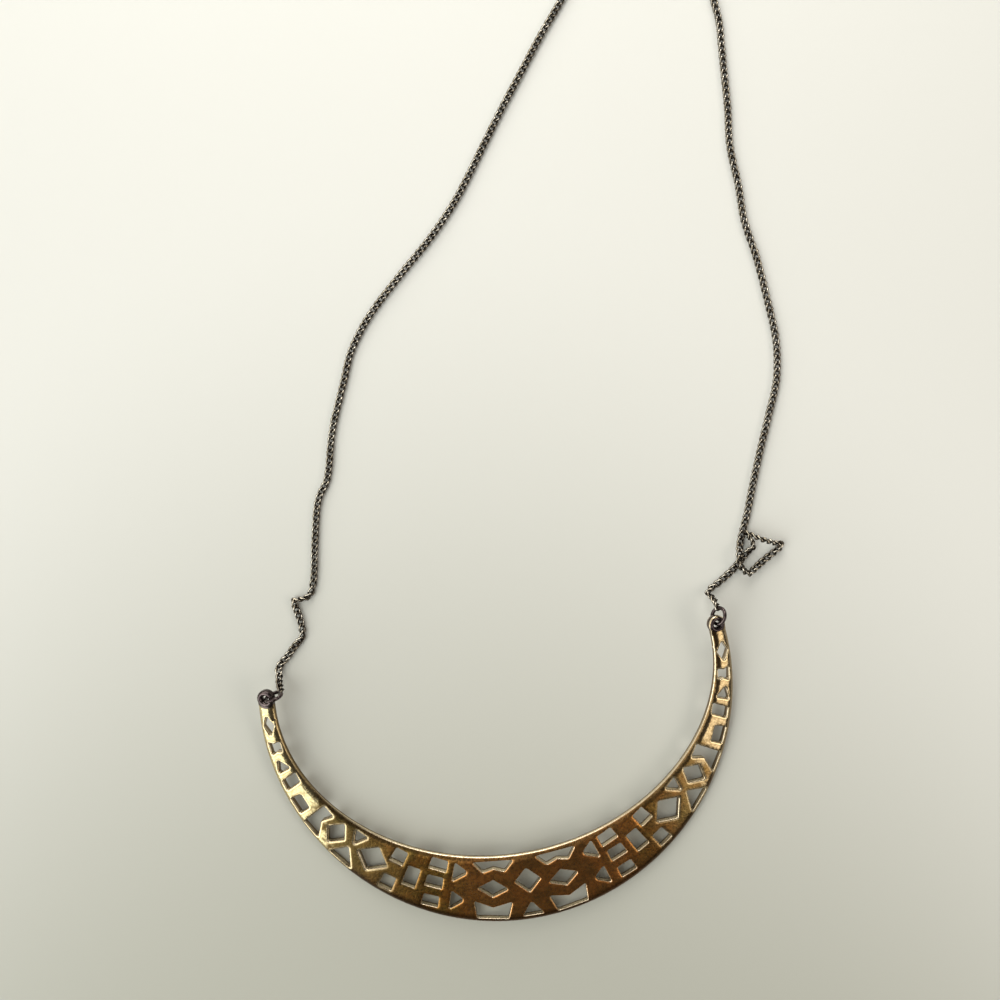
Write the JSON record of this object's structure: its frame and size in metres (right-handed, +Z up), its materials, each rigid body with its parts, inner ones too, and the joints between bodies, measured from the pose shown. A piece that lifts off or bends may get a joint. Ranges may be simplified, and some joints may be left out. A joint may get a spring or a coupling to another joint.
{
  "type": "crescent pendant necklace",
  "caption": "Pierced crescent pendant with a geometric lattice, held at its tips by rings on a fine curb chain that lies as a closed loop and ends in a plain clasp.",
  "frame": {"origin": "on the surface that the necklace lies on, below the middle of its bounding box", "axes": "+Y from the crescent to the clasp, +Z up, out of the crescent's pierced face"},
  "size_m": [0.1454, 0.257, 0.0097],
  "materials": {
    "antiqued_brass": "antiqued, brown patina with rubbed golden edges",
    "gunmetal": "dark gunmetal, softly polished",
    "oxidised_chain": "oxidised, rubbed bright on the links' crowns"
  },
  "bodies": {
    "root": {"crescent_plate": "antiqued_brass", "jump_ring_left": "gunmetal", "jump_ring_right": "gunmetal", "chain_left": "oxidised_chain", "chain_right": "oxidised_chain", "end_ring_left": "gunmetal", "end_ring_right": "gunmetal", "clasp": "gunmetal"}
  },
  "joints": []
}
